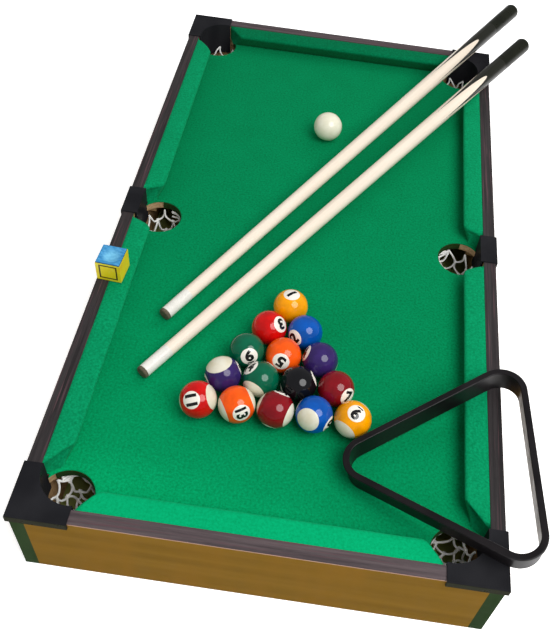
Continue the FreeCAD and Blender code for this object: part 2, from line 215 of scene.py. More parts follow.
def make_felt_nap():
    """Napped wool: fine fibres, small tufts and broad brushed patches."""
    t, given, out = start_group(
        "felt_nap",
        [("Vector", "V"), ("Colour", "C"), ("Lift", "C"), ("Contrast", "F")],
        [("Color", "C"), ("Height", "F")],
    )
    v = given["Vector"]
    fibre = t.noise(t.place(v, rotation=(0, 0, 0.6), scale=(1, 2.6, 1)), 2300.0, 3.0, 0.65)
    cross = t.noise(t.place(v, rotation=(0, 0, -0.9), scale=(2.6, 1, 1)), 1900.0, 2.0, 0.6)
    tuft = t.noise(v, 620.0, 3.0, 0.6)
    patch = t.noise(v, 38.0, 3.0, 0.55)
    fine = t.math("ADD", t.math("MULTIPLY", fibre, 0.5), t.math("MULTIPLY", cross, 0.5))
    whole = t.math("ADD", t.math("MULTIPLY", fine, 0.45), t.math("MULTIPLY", tuft, 0.55))
    shade = t.math("ADD", t.math("MULTIPLY", whole, 0.92), t.math("MULTIPLY", patch, 0.08))
    amount = t.math("MULTIPLY", t.math("SUBTRACT", shade, 0.5), given["Contrast"])
    t.feed(out["Color"], t.mix(t.math("ADD", amount, 0.5, clamp=True), given["Colour"], given["Lift"]))
    t.feed(out["Height"], whole)
    return t.tree


def make_wood_figure():
    """Grain along X of the vector given: long fibres, growth bands and fine pores."""
    t, given, out = start_group(
        "wood_figure",
        [("Vector", "V"), ("Light", "C"), ("Dark", "C"), ("Band Scale", "F"), ("Band Amount", "F")],
        [("Color", "C"), ("Height", "F")],
    )
    v = given["Vector"]
    drift = t.noise(t.place(v, scale=(6, 40, 40)), 1.0, 2.0)
    shift = t.vector("SCALE", (0, 0.004, 0.003))
    t.feed(shift.node.inputs["Scale"], drift)
    bands = t.noise(t.place(t.vector("ADD", v, shift), scale=(0.03, 1, 1)), given["Band Scale"], 2.0, 0.5)
    fibres = t.noise(t.place(v, scale=(0.045, 1, 1)), 3600.0, 2.0, 0.6)
    banding = t.math("MULTIPLY", bands, given["Band Amount"])
    both = t.math("ADD", banding, t.math("MULTIPLY", fibres, 0.35))
    t.feed(out["Color"], t.mix(t.step(both, 0.18, 0.95), given["Light"], given["Dark"]))
    t.feed(out["Height"], fibres)
    return t.tree


def make_moulded_skin():
    """Moulded plastic: a fine stipple, a little flow marking and rubbed patches."""
    t, given, out = start_group(
        "moulded_skin",
        [("Vector", "V"), ("Stipple Scale", "F"), ("Rough Low", "F"), ("Rough High", "F")],
        [("Height", "F"), ("Roughness", "F"), ("Shade", "F")],
    )
    v = given["Vector"]
    stipple = t.noise(v, given["Stipple Scale"], 2.0, 0.5)
    rubbed = t.noise(v, 90.0, 4.0, 0.6)
    flow = t.noise(t.place(v, scale=(1, 1, 0.3)), 34.0, 2.0, 0.5)
    both = t.math("ADD", t.math("MULTIPLY", stipple, 0.7), t.math("MULTIPLY", rubbed, 0.3))
    t.feed(out["Height"], both)
    t.feed(out["Roughness"], t.spread(rubbed, given["Rough Low"], given["Rough High"], 0.3, 0.7))
    t.feed(out["Shade"], flow)
    return t.tree


def make_board_chips():
    """Pressed board: pale chips of different tones with darker gaps."""
    t, given, out = start_group(
        "board_chips", [("Vector", "V"), ("Light", "C"), ("Dark", "C")], [("Color", "C"), ("Height", "F")]
    )
    v = t.place(given["Vector"], scale=(1, 0.8, 1.8))
    cells = t.add("ShaderNodeTexVoronoi", None, Vector=v, Scale=520.0)
    tone = t.parts(cells.outputs["Color"])[0]
    dust = t.noise(given["Vector"], 1500.0, 3.0, 0.6)
    both = t.math("ADD", t.math("MULTIPLY", tone, 0.55), t.math("MULTIPLY", dust, 0.45))
    t.feed(out["Color"], t.mix(both, given["Dark"], given["Light"]))
    t.feed(out["Height"], both)
    return t.tree


DISC_COSINE = math.cos(math.radians(28.0))


def make_ball_marks():
    """Where a ball carries its number disc, and where its coloured band gives way to ivory."""
    t, given, out = start_group(
        "ball_marks",
        [("Vector", "V"), ("Centre", "V"), ("Toward", "V"), ("Axis", "V"), ("Cap Cosine", "F")],
        [("Disc", "F"), ("Cap", "F")],
    )
    way = t.vector("NORMALIZE", t.vector("SUBTRACT", given["Vector"], given["Centre"]))
    facing = t.math("ABSOLUTE", t.vector("DOT_PRODUCT", way, given["Toward"]))
    t.feed(out["Disc"], t.past(facing, DISC_COSINE, 0.004))
    along = t.math("ABSOLUTE", t.vector("DOT_PRODUCT", way, given["Axis"]))
    over = t.math("SUBTRACT", along, given["Cap Cosine"])
    t.feed(out["Cap"], t.past(over, 0.0, 0.006))
    return t.tree


PLIES = 3.0


def make_twisted_ply():
    """Three plies laid round a cord, from a map with U along and V round it; Shade is painted shade in the
    grooves between them.
    """
    t, given, out = start_group(
        "twisted_ply", [("Map", "V"), ("Turns", "F")], [("Height", "F"), ("Shade", "F")]
    )
    u, v, _ = t.parts(given["Map"])
    turn = t.math("ADD", t.math("MULTIPLY", u, given["Turns"]), t.math("MULTIPLY", v, PLIES))
    wave = t.math("ABSOLUTE", t.math("SINE", t.math("MULTIPLY", turn, math.pi)))
    t.feed(out["Height"], wave)
    t.feed(out["Shade"], t.spread(wave, 0.72, 1.0))
    return t.tree


felt_nap = make_felt_nap()
wood_figure = make_wood_figure()
moulded_skin = make_moulded_skin()
board_chips = make_board_chips()
ball_marks = make_ball_marks()
twisted_ply = make_twisted_ply()


def start_material(name, **shader):
    """A material with one Principled shader. Its plain values are set on the shader itself."""
    material = bpy.data.materials.new(name)
    material.use_nodes = True
    t = Tree(material.node_tree)
    surface = material.node_tree.nodes["Principled BSDF"]
    for key, value in shader.items():
        surface.inputs[key.replace("_", " ")].default_value = value
    vector = t.add("ShaderNodeTexCoord").outputs["Object"]
    return material, t, surface, vector


def use_group(t, tree, **inputs):
    node = t.tree.nodes.new("ShaderNodeGroup")
    node.node_tree = tree
    for key, value in inputs.items():
        t.feed(node.inputs[key.replace("_", " ")], value)
    return node.outputs


def bump(t, surface, height, distance, strength=1.0):
    node = t.add("ShaderNodeBump", None, Height=height, Distance=distance, Strength=strength)
    t.feed(surface.inputs["Normal"], node.outputs["Normal"])


# ---- finishes

# painted light: the bed's felt is painted paler towards its near left corner, and again beside
# the near cushion: the plan way, where the change starts and ends along it, and the gain at its end
BED_PAINTED_LIGHT = (
    ((-0.5, -0.866, 0.0), 60 * MM, 320 * MM, 1.4),
    ((-0.2, -0.98, 0.0), 225 * MM, 268 * MM, 1.25),
)
FELT_SHEEN = rgb(120, 235, 170)
# the caps' skirts: how far outside the cabinet's faces they are told by, and where they end above
SKIRT_CLEAR = 1.0 * MM
SKIRT_TOP = RAIL_TOP + 0.7 * MM
# how near to its outer face a board wears the foil, and how high a rail's core shows there
FOIL_EDGE = 0.25 * MM
CORE_TOP = RAIL_TOP - 0.15 * MM
FINE_BLUR = 0.05 * MM


def felt(name, colour, lift, contrast=3.6, painted_light=()):
    """Napped felt, which painted light may make paler along some ways."""
    material, t, surface, v = start_material(
        name, Roughness=0.95, Sheen_Weight=0.08, Sheen_Roughness=0.45, Specular_IOR_Level=0.05
    )
    surface.inputs["Sheen Tint"].default_value = FELT_SHEEN
    nap = use_group(t, felt_nap, Vector=v, Colour=colour, Lift=lift, Contrast=contrast)
    shown = nap["Color"]
    # painted light: the felt's colour is multiplied up along each given way
    for way, start, end, gain in painted_light:
        painted_gain = t.spread(t.vector("DOT_PRODUCT", v, way), 1.0, gain, start, end)
        shown = t.mix(1.0, shown, painted_gain, "MULTIPLY")
    t.feed(surface.inputs["Base Color"], shown)
    bump(t, surface, nap["Height"], 0.22 * MM, 0.55)
    return material


def plastic(name, colour, lift, rough, specular, ior=1.5, stipple=2600.0, depth=0.02 * MM, skirt=None):
    """Moulded plastic. `skirt` is the tone of what hangs outside the cabinet's faces."""
    material, t, surface, v = start_material(name, Specular_IOR_Level=specular, IOR=ior)
    skin = use_group(t, moulded_skin, Vector=v, Stipple_Scale=stipple,
                     Rough_Low=rough[0], Rough_High=rough[1])
    shown = t.mix(t.step(skin["Shade"], 0.3, 0.7), colour, lift)
    if skirt:
        x, y, z = t.parts(v)
        side = t.past(t.math("ABSOLUTE", x), HALF_WIDTH + SKIRT_CLEAR, 0.1 * MM)
        end = t.past(t.math("ABSOLUTE", y), HALF_LENGTH + SKIRT_CLEAR, 0.1 * MM)
        below = t.flip(t.past(z, SKIRT_TOP, 0.1 * MM))
        shown = t.mix(t.math("MULTIPLY", t.math("MAXIMUM", side, end), below), shown, skirt)
    t.feed(surface.inputs["Base Color"], shown)
    t.feed(surface.inputs["Roughness"], skin["Roughness"])
    bump(t, surface, skin["Height"], depth, 0.8)
    return material


def raw_wood(name, light, dark, turn):
    """Sawn pine, its grain along the way that `turn` brings to X."""
    material, t, surface, v = start_material(name, Roughness=0.75, Specular_IOR_Level=0.25)
    wood = use_group(t, wood_figure, Vector=t.place(v, rotation=turn), Light=light, Dark=dark,
                     Band_Scale=160.0, Band_Amount=0.65)
    t.feed(surface.inputs["Base Color"], wood["Color"])
    bump(t, surface, wood["Height"], 0.06 * MM, 0.5)
    return material


def raw_board(name):
    """Bare pressed board."""
    material, t, surface, v = start_material(name, Roughness=0.85, Specular_IOR_Level=0.2)
    chips = use_group(t, board_chips, Vector=v, Light=rgb(214, 184, 142), Dark=rgb(160, 124, 84))
    t.feed(surface.inputs["Base Color"], chips["Color"])
    bump(t, surface, chips["Height"], 0.12 * MM, 0.5)
    return material


def panel_laminate(name, turn, outer_part, outer_at):
    """Printed wood-look foil on the outer face, which is at `outer_at` along the axis numbered
    `outer_part`, and raw board everywhere else."""
    material, t, surface, v = start_material(name, Specular_IOR_Level=0.5, IOR=1.04)
    foil = use_group(t, wood_figure, Vector=t.place(v, rotation=turn), Light=rgb(128, 96, 32),
                     Dark=rgb(102, 76, 22), Band_Scale=95.0, Band_Amount=0.75)
    skin = use_group(t, moulded_skin, Vector=v, Stipple_Scale=1700.0, Rough_Low=0.38, Rough_High=0.55)
    chips = use_group(t, board_chips, Vector=v, Light=rgb(214, 178, 134), Dark=rgb(158, 118, 78))
    outer = t.past(t.math("ABSOLUTE", t.parts(v)[outer_part]), outer_at - FOIL_EDGE, FINE_BLUR)
    warm = t.mix(t.step(skin["Shade"], 0.35, 0.75), foil["Color"], rgb(124, 90, 28))
    t.feed(surface.inputs["Base Color"], t.mix(outer, chips["Color"], warm))
    t.feed(surface.inputs["Roughness"], t.spread(outer, 0.85, skin["Roughness"]))
    bump(t, surface, t.math("ADD", foil["Height"], skin["Height"]), 0.04 * MM, 0.5)
    return material


def rail_laminate(name, turn, outer_part, outer_at, light, dark):
    """Dark streaked foil over a tan core that shows at the outer edge."""
    material, t, surface, v = start_material(name, Specular_IOR_Level=0.12)
    own = t.place(v, rotation=turn)
    foil = use_group(t, wood_figure, Vector=own, Light=light, Dark=dark, Band_Scale=420.0, Band_Amount=0.8)
    streak = t.noise(t.place(own, scale=(0.02, 1, 1)), 900.0, 2.0, 0.5)
    red = t.mix(t.step(streak, 0.56, 0.72), foil["Color"], rgb(90, 66, 71))
    skin = use_group(t, moulded_skin, Vector=v, Stipple_Scale=1500.0, Rough_Low=0.36, Rough_High=0.5)
    edge = t.past(t.math("ABSOLUTE", t.parts(v)[outer_part]), outer_at - FOIL_EDGE, FINE_BLUR)
    edge = t.math("MULTIPLY", edge, t.flip(t.past(t.parts(v)[2], CORE_TOP, FINE_BLUR)))
    t.feed(surface.inputs["Base Color"], t.mix(edge, red, rgb(164, 126, 100)))
    t.feed(surface.inputs["Roughness"], skin["Roughness"])
    bump(t, surface, t.math("ADD", foil["Height"], skin["Height"]), 0.04 * MM, 0.5)
    return material


# the tongues' roots and tips along a cue in mm, their turn round it and how blunt they are
POINTS_START = 362.0
POINTS_END = 450.0
TONGUE_TURN = 0.54
TONGUE_POWER = 0.62


def cue_wood(name, origin, along):
    """Pale turned wood in the cue's own frame. Four pale tongues run into the black at the butt."""
    material, t, surface, v = start_material(
        name, Roughness=0.34, Specular_IOR_Level=0.3, Coat_Weight=0.15, Coat_Roughness=0.14
    )
    frame_turn = Vector((1, 0, 0)).rotation_difference(along).to_euler()
    own = t.place(v, location=origin, rotation=frame_turn, kind="TEXTURE")
    wood = use_group(t, wood_figure, Vector=own, Light=rgb(242, 229, 212), Dark=rgb(226, 209, 188),
                     Band_Scale=330.0, Band_Amount=0.55)
    s, across, up = t.parts(own)
    turn = t.math("ADD", t.math("ARCTAN2", across, up), TONGUE_TURN)
    around = t.math("ADD", t.math("MULTIPLY", turn, 2 / math.pi), 0.5)
    off = t.math("ABSOLUTE", t.math("SUBTRACT", t.math("FRACT", around), 0.5))
    wave = t.math("MULTIPLY", off, 2.0)
    dome = t.math("SUBTRACT", 1.0, t.math("MULTIPLY", wave, wave), clamp=True)
    reach = t.math("MULTIPLY", t.math("POWER", dome, TONGUE_POWER), (POINTS_END - POINTS_START) * MM)
    over = t.math("SUBTRACT", s, t.math("ADD", reach, POINTS_START * MM))
    t.feed(surface.inputs["Base Color"], t.mix(t.past(over, 0.0, 0.3 * MM), wood["Color"], rgb(27, 28, 20)))
    bump(t, surface, wood["Height"], 0.02 * MM, 0.4)
    return material


def plain_grain(name, colour, lift, scale, rough, depth, **shader):
    """A nearly even finish with mottled tone and a small grain."""
    material, t, surface, v = start_material(name, **shader)
    mottle = t.noise(v, scale, 4.0, 0.62)
    broad = t.noise(v, scale * 0.13, 3.0, 0.5)
    both = t.math("ADD", t.math("MULTIPLY", mottle, 0.6), t.math("MULTIPLY", broad, 0.4))
    t.feed(surface.inputs["Base Color"], t.mix(t.step(both, 0.32, 0.68), colour, lift))
    t.feed(surface.inputs["Roughness"], t.spread(broad, rough[0], rough[1], 0.3, 0.7))
    bump(t, surface, mottle, depth, 0.7)
    return material


def ball_finish(name, centre, colour, toward, axis, cap_cosine):
    """Polished resin: the ball's colour, its ivory caps and its number disc."""
    material, t, surface, v = start_material(name, IOR=1.43)
    marks = use_group(t, ball_marks, Vector=v, Centre=centre, Toward=toward, Axis=axis,
                      Cap_Cosine=cap_cosine)
    cloud = t.noise(v, 130.0, 3.0, 0.5)
    deep = tuple(part * 0.8 for part in colour[:3]) + (1.0,)
    body = t.mix(t.step(cloud, 0.35, 0.65), deep, colour)
    ivory = t.mix(t.step(cloud, 0.3, 0.7), rgb(216, 208, 182), rgb(226, 222, 204))
    shown = t.mix(marks["Cap"], body, ivory)
    shown = t.mix(marks["Disc"], shown, rgb(238, 233, 222))
    t.feed(surface.inputs["Base Color"], shown)
    t.feed(surface.inputs["Roughness"], t.spread(t.noise(v, 260.0, 4.0, 0.6), 0.05, 0.09, 0.3, 0.7))
    bump(t, surface, t.noise(v, 420.0, 2.0), 0.01 * MM, 0.15)
    return material


# the printed square's inner and outer half width, and how far out the printed faces are
SQUARE_INNER = 5.75 * MM
SQUARE_OUTER = 6.9 * MM
PRINTED_FACE = 9.175 * MM


def chalk_paper(name, centre, turn):
    """Yellow wrapper, with a thin square printed on its front and back."""
    material, t, surface, v = start_material(name, Roughness=0.5, Specular_IOR_Level=0.35)
    own = t.place(v, location=centre, rotation=(0, 0, turn), kind="TEXTURE")
    x, y, z = t.parts(own)
    reach = t.math("MAXIMUM", t.math("ABSOLUTE", x), t.math("ABSOLUTE", z))
    within = t.flip(t.past(reach, SQUARE_OUTER, FINE_BLUR))
    line = t.math("MULTIPLY", t.past(reach, SQUARE_INNER, FINE_BLUR), within)
    line = t.math("MULTIPLY", line, t.past(t.math("ABSOLUTE", y), PRINTED_FACE, FINE_BLUR / 2))
    worn = t.noise(own, 210.0, 4.0, 0.6)
    stain = t.noise(own, 95.0, 3.0, 0.5)
    paper = t.mix(t.step(stain, 0.5, 0.72), rgb(232, 212, 20), rgb(228, 182, 14))
    paper = t.mix(t.step(worn, 0.45, 0.8), paper, rgb(226, 224, 70))
    t.feed(surface.inputs["Base Color"], t.mix(line, paper, rgb(48, 36, 14)))
    bump(t, surface, worn, 0.04 * MM, 0.5)
    return material


def net_cord(name):
    """White twisted string, a little fuzzy."""
    material, t, surface, v = start_material(
        name, Roughness=0.8, Sheen_Weight=0.3, Specular_IOR_Level=0.25
    )
    along = t.add("ShaderNodeUVMap", {"uv_map": "UVMap"}).outputs["UV"]
    ply = use_group(t, twisted_ply, Map=along, Turns=11.0)
    fuzz = t.noise(v, 2600.0, 3.0, 0.6)
    # painted shade: the cord is darker in the grooves between its plies
    shown = t.mix(ply["Shade"], rgb(236, 234, 224), rgb(255, 255, 252))
    t.feed(surface.inputs["Base Color"], t.mix(t.math("MULTIPLY", fuzz, 0.12), shown, rgb(226, 223, 208)))
    bump(t, surface, t.math("ADD", ply["Height"], t.math("MULTIPLY", fuzz, 0.4)), 0.18 * MM, 0.8)
    return material


# ---- mesh helpers

def add_piece(name, bm, materials, body, slot, *replaced, smooth=40.0):
    """Make the bmesh a shown piece that rides on a body and wears the materials given; `slot` is not used.
    """
    mesh = bpy.data.meshes.new(name)
    bm.to_mesh(mesh)
    bm.free()
    for material in materials:
        mesh.materials.append(material)
    mesh.shade_smooth()
    mesh.set_sharp_from_angle(angle=math.radians(smooth))
    piece = bpy.data.objects.new(name, mesh)
    scene.collection.objects.link(piece)
    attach(piece, body)
    if replaced:
        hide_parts(*replaced)
    return piece


def paint(names, material):
    """Give CAD nodes a finish through their own material slots."""
    for name in names:
        for slot in nodes[name].material_slots:
            slot.material = material


def copy_of_node(name):
    """A merged copy of a CAD node's mesh, with its flat faces whole again."""
    bm = bmesh.new()
    bm.from_mesh(nodes[name].data)
    for layer in list(bm.loops.layers.uv.values()):
        bm.loops.layers.uv.remove(layer)
    bmesh.ops.remove_doubles(bm, verts=bm.verts, dist=1e-6)
    bmesh.ops.dissolve_limit(bm, angle_limit=math.radians(0.5), verts=bm.verts, edges=bm.edges)
    return bm


def cut_across(bm, way, places):
    """Cut the mesh with planes across `way` at each place along it."""
    way = Vector(way)
    for place in places:
        geometry = bm.verts[:] + bm.edges[:] + bm.faces[:]
        bmesh.ops.bisect_plane(bm, geom=geometry, dist=1e-7, plane_co=way * place, plane_no=way)


def mesh_of_curve(data):
    """A curve or a text as a mesh of its own."""
    holder = bpy.data.objects.new(data.name, data)
    scene.collection.objects.link(holder)
    bpy.context.view_layer.update()
    mesh = bpy.data.meshes.new_from_object(holder.evaluated_get(bpy.context.evaluated_depsgraph_get()))
    bpy.data.objects.remove(holder)
    return mesh


def steps(start, end, size):
    """Even places between start and end, about `size` apart and without the two ends."""
    count = max(1, round((end - start) / size))
    return [start + (end - start) * i / count for i in range(1, count)]


# ---- cabinet

CORNER_NAMES = ("front_left", "front_right", "rear_left", "rear_right")
SIDE_NAMES = ("left", "right")
QUARTER = math.pi / 2
PINE = (rgb(222, 190, 140), rgb(180, 140, 92))

end_laminate = panel_laminate("end_panel_laminate", (0, 0, 0), 1, HALF_LENGTH)
side_laminate = panel_laminate("side_panel_laminate", (0, 0, -QUARTER), 0, HALF_WIDTH)
paint(["front_panel", "rear_panel"], end_laminate)
paint(["left_panel", "right_panel"], side_laminate)
# painted light: the end rails' foil is painted lighter than the side rails', though the foil is one
end_rail = rail_laminate("end_rail_laminate_painted_light", (0, 0, 0), 1, HALF_LENGTH,
                         light=rgb(102, 90, 92), dark=rgb(56, 49, 52))
side_rail = rail_laminate("side_rail_laminate", (0, 0, -QUARTER), 0, HALF_WIDTH,
                          light=rgb(67, 62, 63), dark=rgb(34, 32, 33))
paint(["front_rail", "rear_rail"], end_rail)
paint(["left_rail", "right_rail"], side_rail)
guard_green = plastic("guard_green", rgb(36, 54, 28), rgb(45, 64, 35), (0.4, 0.55), 0.5, ior=1.04,
                      depth=0.03 * MM)
paint(["corner_guards"], guard_green)
paint(["corner_blocks"], raw_wood("block_pine", *PINE, (0, QUARTER, 0)))
paint(["bed_ledgers"], raw_wood("ledger_pine", *PINE, (0, 0, -QUARTER)))
paint(["centre_rib", "bed_board"], raw_board("pressed_board"))
zinc_plate = plain_grain("zinc_plate", rgb(178, 178, 172), rgb(206, 204, 192), 900.0, (0.25, 0.4),
                         0.01 * MM, Metallic=1.0)
paint(["ledger_screws"], zinc_plate)
cap_black = plastic("cap_black", rgb(31, 31, 34), rgb(41, 41, 44), (0.24, 0.36), 0.5, ior=1.06,
                    stipple=3000.0, skirt=rgb(26, 28, 6))
paint([f"{corner}_cap" for corner in CORNER_NAMES], cap_black)
paint([f"{side}_side_cap" for side in SIDE_NAMES], cap_black)

# ---- felt on the bed and the cushions

# the bed, the long and the end cushions each get their own felt tone; the front cushion's felt is
# painted lighter and the rear's darker, which is painted light and painted shade
bed_green = felt("bed_felt", rgb(0, 103, 58), rgb(1, 143, 90), painted_light=BED_PAINTED_LIGHT)
long_green = felt("long_cushion_felt", rgb(1, 112, 68), rgb(8, 158, 104))
end_lit_and_shaded_greens = {
    "front": felt("front_cushion_felt_painted_light", rgb(0, 140, 86), rgb(3, 180, 118), 2.6),
    "rear": felt("rear_cushion_felt_painted_shade", rgb(0, 88, 51), rgb(2, 123, 80)),
}

# the edges round a hole are shorter than RIM_EDGE; the felt's face swings by FELT_RIPPLE
RIM_EDGE = 4 * MM
RIM_ROLL = 0.5 * MM
FELT_CUT = 7 * MM
FELT_RIPPLE = 0.12 * MM
CORNER_HOLE = 18.0
SIDE_HOLE = 17.5


def make_bed_felt():
    """The bed's felt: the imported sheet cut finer, its hole edges rolled and its face uneven."""
    bm = copy_of_node("bed_cloth")
    rims = []
    for edge in bm.edges:
        middle = (edge.verts[0].co + edge.verts[1].co) / 2
        flat = abs(edge.verts[0].co.z - CLOTH_TOP) < 1e-6 and abs(edge.verts[1].co.z - CLOTH_TOP) < 1e-6
        on_side = abs(middle.x) > INNER_X - 1e-5 or abs(middle.y) > INNER_Y - 1e-5
        if flat and not on_side and edge.calc_length() < RIM_EDGE:
            rims.append(edge)
    bmesh.ops.bevel(bm, geom=rims, offset=RIM_ROLL, offset_type="OFFSET", segments=3, profile=0.5,
                    affect="EDGES", clamp_overlap=True, material=-1)
    cut_across(bm, (1, 0, 0), steps(-INNER_X, INNER_X, FELT_CUT))
    cut_across(bm, (0, 1, 0), steps(-INNER_Y, INNER_Y, FELT_CUT))
    for vert in bm.verts:
        if vert.co.z > CLOTH_TOP - 0.05 * MM:
            vert.co.z += FELT_RIPPLE * (noise.noise(vert.co * 55.0) - 0.5)
    return bm


bed_felt = add_piece("bed_felt", make_bed_felt(), [bed_green], "table", "green_cloth", "bed_cloth")

# each hole in the bed: its middle and radius in mm, then which way the play field lies and how
# far round the felt turns down, in degrees
HOLES = [((sx * 123.5, sy * 253.0), CORNER_HOLE, math.degrees(math.atan2(-sy, -sx)), 168.0)
         for sx in (-1, 1) for sy in (-1, 1)]
HOLES += [((sx * 124.0, 0.0), SIDE_HOLE, 180.0 if sx > 0 else 0.0, 186.0) for sx in (-1, 1)]
RIM_STEPS = 40
# the turned-down felt's section: how far in from the hole's edge, and height over the felt, in mm
RIM_SECTION = ((0.05, -0.75), (0.05, -6.3), (0.25, -6.45), (0.5, -6.3), (0.55, -1.1), (0.35, -0.75))


def make_hole_felt():
    """Felt turned down the board's edge on the play side of each hole."""
    bm = bmesh.new()
    for (x, y), radius, faces_way, sweep in HOLES:
        start = math.radians(faces_way - sweep / 2)
        away = Vector((math.cos(start), math.sin(start), 0))
        middle = Vector((x * MM, y * MM, CLOTH_TOP))
        section = [bm.verts.new(middle + away * (radius - inward) * MM + Vector((0, 0, up * MM)))
                   for inward, up in RIM_SECTION]
        face = bm.faces.new(section)
        bmesh.ops.spin(bm, geom=section + list(face.edges) + [face], cent=middle, axis=(0, 0, 1),
                       angle=math.radians(sweep), steps=RIM_STEPS, use_duplicate=False)
    bmesh.ops.remove_doubles(bm, verts=bm.verts, dist=1e-7)
    bmesh.ops.recalc_face_normals(bm, faces=bm.faces)
    return bm


# painted shade: the felt turned down into the holes is coloured dark olive for the shade there
hole_painted_shade_green = felt("hole_felt", rgb(26, 42, 16), rgb(44, 66, 28))
add_piece("pocket_hole_felt", make_hole_felt(), [hole_painted_shade_green], "table", "green_cloth", smooth=50.0)

# a cushion's section: distance out from the panel and height over the bed felt, in mm
CUSHION_SECTION = (
    (0.0, 0.0), (0.0, 14.1), (0.5, 14.45), (4.0, 14.42), (8.0, 14.3), (11.5, 14.05), (13.4, 13.75),
    (14.6, 13.3), (15.3, 12.6), (15.6, 11.7), (15.2, 10.7), (13.6, 7.4), (11.6, 3.4), (10.0, 0.35),
    (9.5, 0.0),
)
CUSHION_REACH = 15.6 * MM
# a cushion's end: how its face bends back to the pocket, the radius it is rounded by, and the
# distances from the end, in mm, where the mesh is cut to carry that
END_BEND = 1.6
END_ROUND = 6.8 * MM
END_CUTS = (0.3, 0.7, 1.2, 1.9, 2.8, 3.9, 5.2, 6.7, 8.5)
LAST_CUT = 10.0 * MM


def make_cushion(back, nose, place):
    """A cushion between `back` and `nose` spans (start, end) along it, rounded where it meets
    a pocket; `place` puts an (along, out, up) point in the table's frame."""
    bm = bmesh.new()
    start = [bm.verts.new((0, out * MM, up * MM)) for out, up in CUSHION_SECTION]
    face = bm.faces.new(start)
    grown = bmesh.ops.extrude_face_region(bm, geom=[face])
    moved = [g for g in grown["geom"] if isinstance(g, bmesh.types.BMVert)]
    bmesh.ops.translate(bm, verts=moved, vec=(1, 0, 0))
    length = back[1] - back[0]
    near = [cut * MM / length for cut in END_CUTS]
    cuts = near + steps(LAST_CUT / length, 1 - LAST_CUT / length, FELT_CUT / length)
    cut_across(bm, (1, 0, 0), cuts + [1 - cut for cut in near])
    for vert in bm.verts:
        share, out, up = vert.co
        lean = (out / CUSHION_REACH) ** END_BEND
        first = back[0] + (nose[0] - back[0]) * lean
        last = back[1] + (nose[1] - back[1]) * lean
        along = first + (last - first) * share
        gap = min(share, 1 - share) * length
        inset = END_ROUND - math.sqrt(max(0.0, END_ROUND ** 2 - max(0.0, END_ROUND - gap) ** 2))
        if out > 0.4 * MM and up > 0.1 * MM:
            out -= inset * min(1.0, out / (10 * MM)) * min(1.0, up / (4 * MM))
            up -= inset * 0.55 * max(0.0, (up - 8 * MM) / (6 * MM))
        at = Vector((along * 70, out * 110, up * 110))
        if up > 2 * MM and out > 1 * MM:
            out += 0.14 * MM * noise.noise(at)
            up += 0.1 * MM * (noise.noise(at + Vector((9, 3, 1))) - 0.6)
        vert.co = place(along, out, up)
    bmesh.ops.recalc_face_normals(bm, faces=bm.faces)
    return bm


# where the cushions start and end along their backs and along their noses
LONG_BACK = (16.2 * MM, 240.0 * MM)
LONG_NOSE = (21.5 * MM, 226.0 * MM)
SHORT_BACK = 113.3 * MM
SHORT_NOSE = 104.0 * MM

for corner in CORNER_NAMES:
    sx = -1 if "left" in corner else 1
    sy = -1 if "front" in corner else 1
    cushion = add_piece(
        f"{corner}_cushion_cover",
        make_cushion(LONG_BACK, LONG_NOSE,
                     lambda a, o, u: Vector((sx * (INNER_X - o), sy * a, CLOTH_TOP + u))),
        [long_green], "table", "green_cloth", f"{corner}_cushion", smooth=50.0)
for end, sy in (("front", -1), ("rear", 1)):
    cushion = add_piece(
        f"{end}_end_cushion_cover",
        make_cushion((-SHORT_BACK, SHORT_BACK), (-SHORT_NOSE, SHORT_NOSE),
                     lambda a, o, u: Vector((a, sy * (INNER_Y - o), CLOTH_TOP + u))),
        [end_lit_and_shaded_greens[end]], "table", "green_cloth", f"{end}_end_cushion", smooth=50.0)

# ---- pocket nets

NET_CORD = 0.78 * MM
NET_SIDES = 7
NET_NODES = [f"{corner}_net" for corner in CORNER_NAMES] + [f"{side}_side_net" for side in SIDE_NAMES]
# rows of knots: height, distance out from the net's middle, share of a side turned, sideways play
NET_ROWS = (
    (45.4, 16.3, 0.0, 0.0), (35.0, 15.4, 0.5, 0.14), (25.0, 14.0, 0.0, 0.16), (16.5, 11.0, 0.5, 0.16),
    (10.8, 5.6, 0.0, 0.12),
)
# the height of the knot that ties the foot, and how far the strings hang slack, in mm
NET_FOOT = 8.8
NET_SLACK = 1.1
FOOT_SLACK = 0.4
# loops of cord under the hole's play side: their heights, distance out and turns from its middle
COLLAR_HEIGHTS = (45.0, 42.6, 40.4)
COLLAR_REACH = 16.3
COLLAR_TURNS = range(-80, 81, 10)
KNOT = 1.45 * MM
FOOT_KNOT = 2.0 * MM


def cord_mesh(lines, thick):
    """Cords along smooth lines, as one mesh with closed ends and a map along each."""
    data = bpy.data.curves.new("cords", "CURVE")
    data.dimensions = "3D"
    data.bevel_depth = thick
    data.bevel_resolution = 2
    data.resolution_u = 5
    data.use_fill_caps = True
    for line in lines:
        spline = data.splines.new("NURBS")
        spline.points.add(len(line) - 1)
        for point, place in zip(spline.points, line):
            point.co = (*place, 1.0)
        spline.use_endpoint_u = True
        spline.order_u = 3
    return mesh_of_curve(data)


